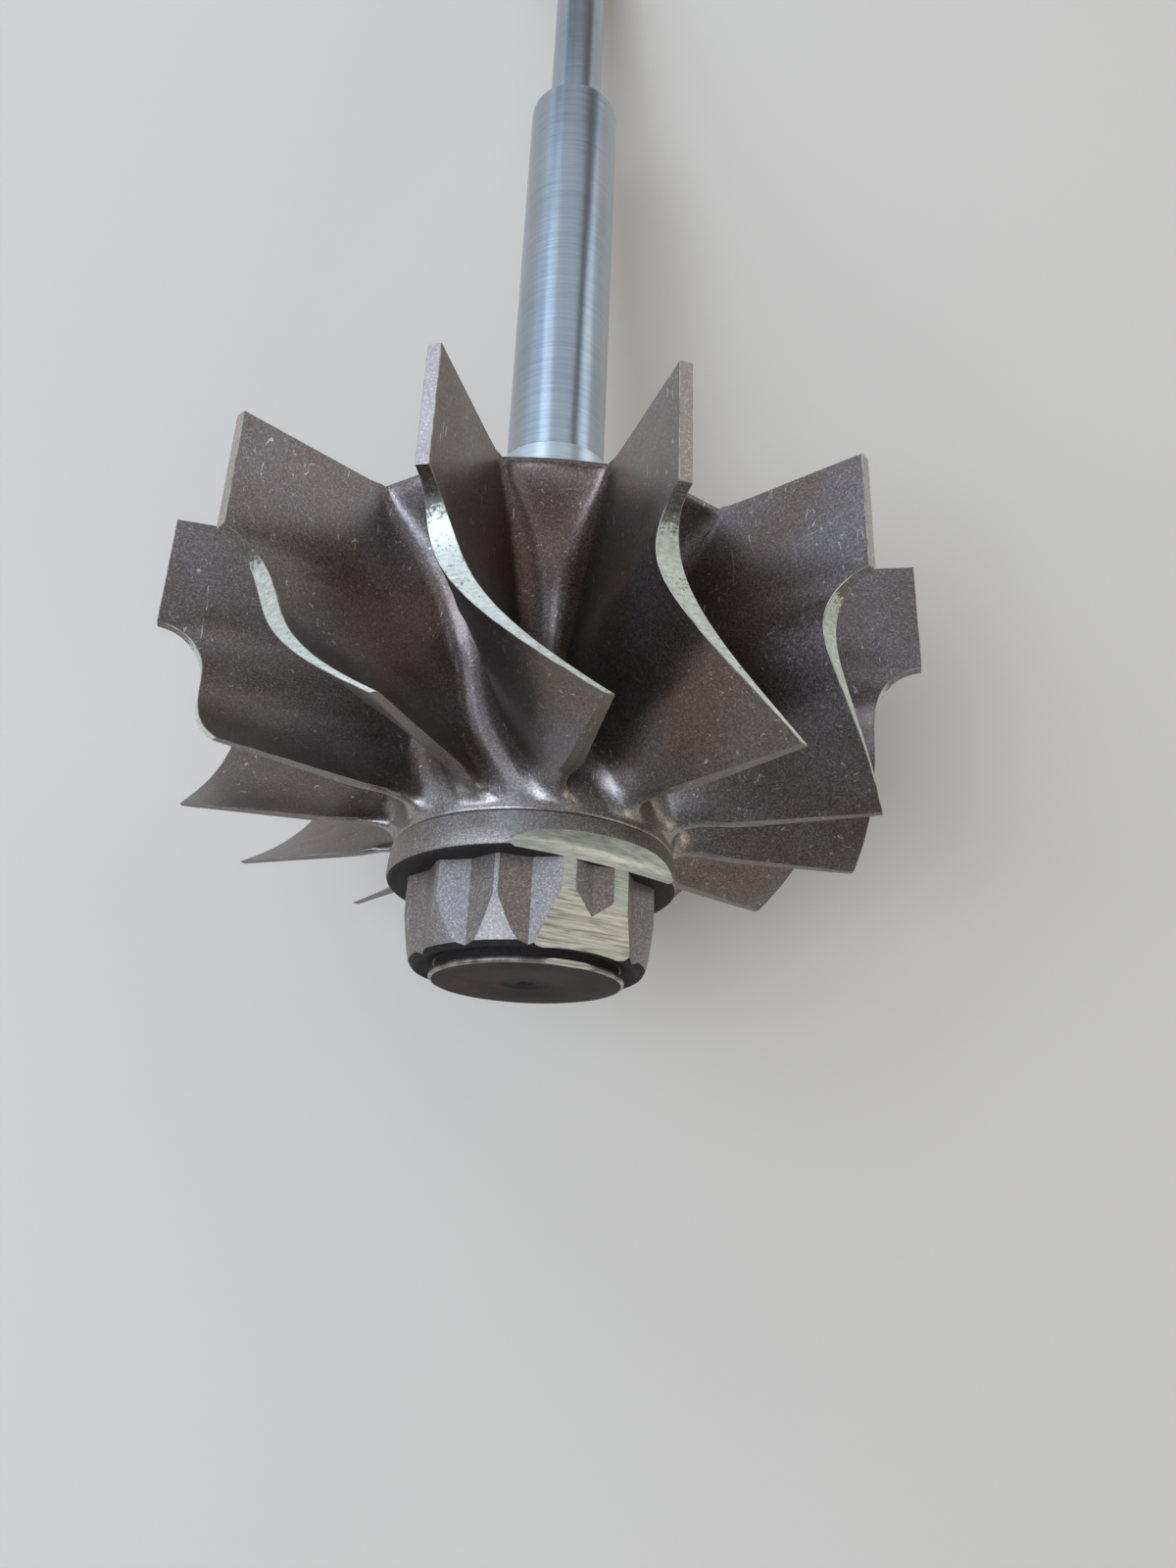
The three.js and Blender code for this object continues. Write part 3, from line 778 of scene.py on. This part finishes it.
def make_boss():
    """The end boss: a faced disc on a narrower neck, with a rubbed edge and a centre mark."""
    bm = turned(
        [
            (0, NUT_END_STATION + 0.6),
            (NOSE_NECK_RADIUS, NUT_END_STATION + 0.6),
            (NOSE_NECK_RADIUS, NOSE_STATION + 0.6),
            (NOSE_RADIUS - 0.1, NOSE_STATION + 0.55),
            (NOSE_RADIUS, NOSE_STATION + 0.4),
            (NOSE_RADIUS, NOSE_STATION + 0.15),
            (NOSE_RADIUS - 0.12, NOSE_STATION + 0.02),
            (NOSE_RADIUS - 0.3, NOSE_STATION),
            (CENTRE_MARK_RADIUS, NOSE_STATION),
            (CENTRE_MARK_RADIUS * 0.6, NOSE_STATION + 0.3),
            (0, NOSE_STATION + CENTRE_MARK_DEPTH),
        ]
    )
    rubbed_radius = NOSE_RADIUS - 0.22
    neck_start = NOSE_STATION + 0.5
    # the centre mark and the neck under the disc get the oxide, painted black as the shade in these recesses
    for face in bm.faces:
        centre = face.calc_center_median()
        radius = math.hypot(centre.x, centre.z)
        if radius > rubbed_radius:
            face.material_index = BOSS_MATERIALS.index(ARRIS)
        elif radius < CENTRE_MARK_RADIUS or centre.y > neck_start:
            face.material_index = BOSS_MATERIALS.index(SHADED_OXIDE)
    stations = (NOSE_STATION, NOSE_STATION + BOSS_FLAT_LENGTH)
    grind_flat(bm, BOSS_FLAT_ANGLE, stations, BOSS_FLAT_DISTANCES, BOSS_MATERIALS.index(CUT))
    place_piece("boss_face", bm, BOSS_MATERIALS, ["nose_boss"], bevel=0.03)


make_rim()
make_nut()
make_boss()


# Shaft


def make_collar():
    bm = turned(
        [
            (0, COLLAR_FRONT_STATION),
            (COLLAR_RADIUS, COLLAR_FRONT_STATION),
            (COLLAR_RADIUS, COLLAR_BACK_STATION),
            (0, COLLAR_BACK_STATION),
        ]
    )
    place_piece("turned_collar", bm, [COLLAR], ["seal_collar"], bevel=0.15)


def make_journal():
    """The journal, chamfered at its end, and the relief groove that cuts into its shoulder."""
    relief_end = JOURNAL_END_STATION + RELIEF_LENGTH
    bm = turned(
        [
            (0, COLLAR_BACK_STATION),
            (JOURNAL_RADIUS, COLLAR_BACK_STATION),
            (JOURNAL_RADIUS, JOURNAL_END_STATION - END_CHAMFER),
            (JOURNAL_RADIUS - END_CHAMFER, JOURNAL_END_STATION),
            (STUB_RADIUS + RELIEF_DEPTH, JOURNAL_END_STATION),
            (STUB_RADIUS, JOURNAL_END_STATION - RELIEF_DEPTH),
            (RELIEF_RADIUS, JOURNAL_END_STATION - RELIEF_DEPTH),
            (RELIEF_RADIUS, relief_end),
            (0, relief_end),
        ]
    )
    place_piece("ground_journal", bm, [JOURNAL], ["bearing_journal"], bevel=0.08)


def make_stub():
    start = JOURNAL_END_STATION + RELIEF_LENGTH
    bm = turned(
        [
            (0, start),
            (RELIEF_RADIUS, start),
            (STUB_RADIUS, start + 0.2),
            (STUB_RADIUS, THREAD_START_STATION),
            (0, THREAD_START_STATION),
        ]
    )
    place_piece("ground_stub", bm, [JOURNAL], ["compressor_stub"], bevel=0.06)


def make_thread():
    """A rolled thread: its profile turns once round the axis while it climbs one pitch.

    It starts early and ends late, is cut square at both ends, and then gets its chamfer.
    """
    core = THREAD_RADIUS - THREAD_DEPTH
    tooth = [(core, 0), (core, 0.12), (THREAD_RADIUS, 0.44), (THREAD_RADIUS, 0.56), (core, 0.88)]
    bm = bmesh.new()
    line = []
    turns = int((SHAFT_END_STATION - THREAD_START_STATION) / THREAD_PITCH) + 3
    for crest in range(-1, turns):
        station = THREAD_START_STATION + crest * THREAD_PITCH
        for radius, share in tooth:
            line.append(bm.verts.new(on_rotor(station + share * THREAD_PITCH, radius, 0)))
    edges = [bm.edges.new(pair) for pair in zip(line, line[1:])]
    steps = 48
    bmesh.ops.spin(
        bm, geom=line + edges, cent=(0, 0, 0), axis=(0, 1, 0), dvec=(0, THREAD_PITCH / steps, 0),
        angle=2 * math.pi, steps=steps,
    )
    bmesh.ops.remove_doubles(bm, verts=bm.verts, dist=1e-3)
    cut_off(bm, (0, THREAD_START_STATION, 0), (0, -1, 0))
    cut_off(bm, (0, SHAFT_END_STATION, 0), (0, 1, 0))
    envelope = turned(
        [
            (0, THREAD_START_STATION - 1),
            (THREAD_RADIUS + 0.2, THREAD_START_STATION - 1),
            (THREAD_RADIUS + 0.2, SHAFT_END_STATION - END_CHAMFER - 0.2),
            (THREAD_RADIUS - END_CHAMFER - 0.1, SHAFT_END_STATION + 0.1),
            (0, SHAFT_END_STATION + 0.1),
        ]
    )
    bm = carve(bm, envelope, "INTERSECT")
    place_piece("rolled_thread", bm, [THREAD], ["stub_thread"], bevel=0, sharp_angle=60)


make_collar()
make_journal()
make_stub()
make_thread()


# Floor, light and camera


FLOOR_REACH = 3  # metres from its middle to each side


def make_floor():
    material = bpy.data.materials.new("pale_matte_floor")
    material.use_nodes = True
    shader = material.node_tree.nodes["Principled BSDF"]
    shader.inputs["Base Color"].default_value = colour("#dad2c4")
    shader.inputs["Roughness"].default_value = 0.6
    bm = bmesh.new()
    bmesh.ops.create_grid(bm, x_segments=1, y_segments=1, size=FLOOR_REACH)
    floor = place_object("floor", take_mesh("floor", bm, [material]))


def add_panel(name, compass, height, distance, size, radiance, tint):
    """A soft light panel that faces the part.

    Its place is given by a compass angle (0 along the shaft, 90 toward +X) and an angle above the
    floor, in degrees, and by a distance. The distance and its width and height are in metres.
    """
    turn, lift = math.radians(compass), math.radians(height)
    outward = Vector((math.sin(turn) * math.cos(lift), math.cos(turn) * math.cos(lift), math.sin(lift)))
    data = bpy.data.lights.new(name, "AREA")
    data.shape = "RECTANGLE"
    data.size, data.size_y = size
    data.energy = radiance * math.pi * size[0] * size[1]
    data.color = colour(tint)[:3]
    light = place_object(name, data)
    light.location = outward * distance
    light.rotation_euler = (-outward).to_track_quat("-Z", "Y").to_euler()


def make_light():
    """Soft daylight, mostly from the left and from above, in a pale room."""
    world = bpy.data.worlds.new("studio")
    world.use_nodes = True
    background = world.node_tree.nodes["Background"]
    background.inputs["Color"].default_value = colour("#e6ebf1")
    background.inputs["Strength"].default_value = 0.21
    bpy.context.scene.world = world
    add_panel("window_left", -46, 28, 1.2, (0.75, 1.25), 1.0, "#d4e4ff")
    add_panel("window_edge", -27, 31, 1.2, (0.28, 0.66), 1.4, "#d9e7ff")
    add_panel("window_high", -90, 42, 1.2, (0.9, 1.0), 2.2, "#dce8ff")
    add_panel("window_right", 56, 10, 1.2, (0.9, 0.4), 1.4, "#e8f0ff")
    add_panel("wall_right", 54, 46, 1.2, (0.7, 0.5), 0.9, "#fff2e0")
    add_panel("wall_side", 92, 31, 1.2, (0.34, 0.34), 1.4, "#fff4e4")
    add_panel("wall_near", 128, 22, 1.2, (0.6, 0.35), 1.9, "#fff4e8")
    add_panel("front_left", -142, 45, 1.2, (0.4, 0.45), 1.2, "#e4eeff")
    add_panel("wall_far", 3, 34, 1.4, (1.15, 0.7), 0.75, "#e6efff")
    add_panel("lamp_near", 174, 59, 1.0, (0.3, 0.12), 3.6, "#e6efff")
    add_panel("ceiling", -110, 67, 1.0, (0.5, 0.5), 5.2, "#dbe8ff")


CAMERA_LENS = 26.45
CAMERA_OFFSET = Vector((0, -33.255, 121.1))  # from station 0 on the axis, in millimetres
CAMERA_ANGLES = (6.179, -2.855, 2.913)
CAMERA_NEAREST = 0.01  # metres


def make_camera():
    """The photograph's camera: held a hand's length above the wheel, looking nearly straight down."""
    data = bpy.data.cameras.new("camera")
    data.lens = CAMERA_LENS
    data.clip_start = CAMERA_NEAREST
    camera = place_object("camera", data)
    camera.location = (START + CAMERA_OFFSET) * MILLIMETRE
    camera.rotation_euler = Euler([math.radians(angle) for angle in CAMERA_ANGLES])
    bpy.context.scene.camera = camera


make_floor()
make_light()
make_camera()
bpy.context.scene.view_settings.view_transform = "Standard"
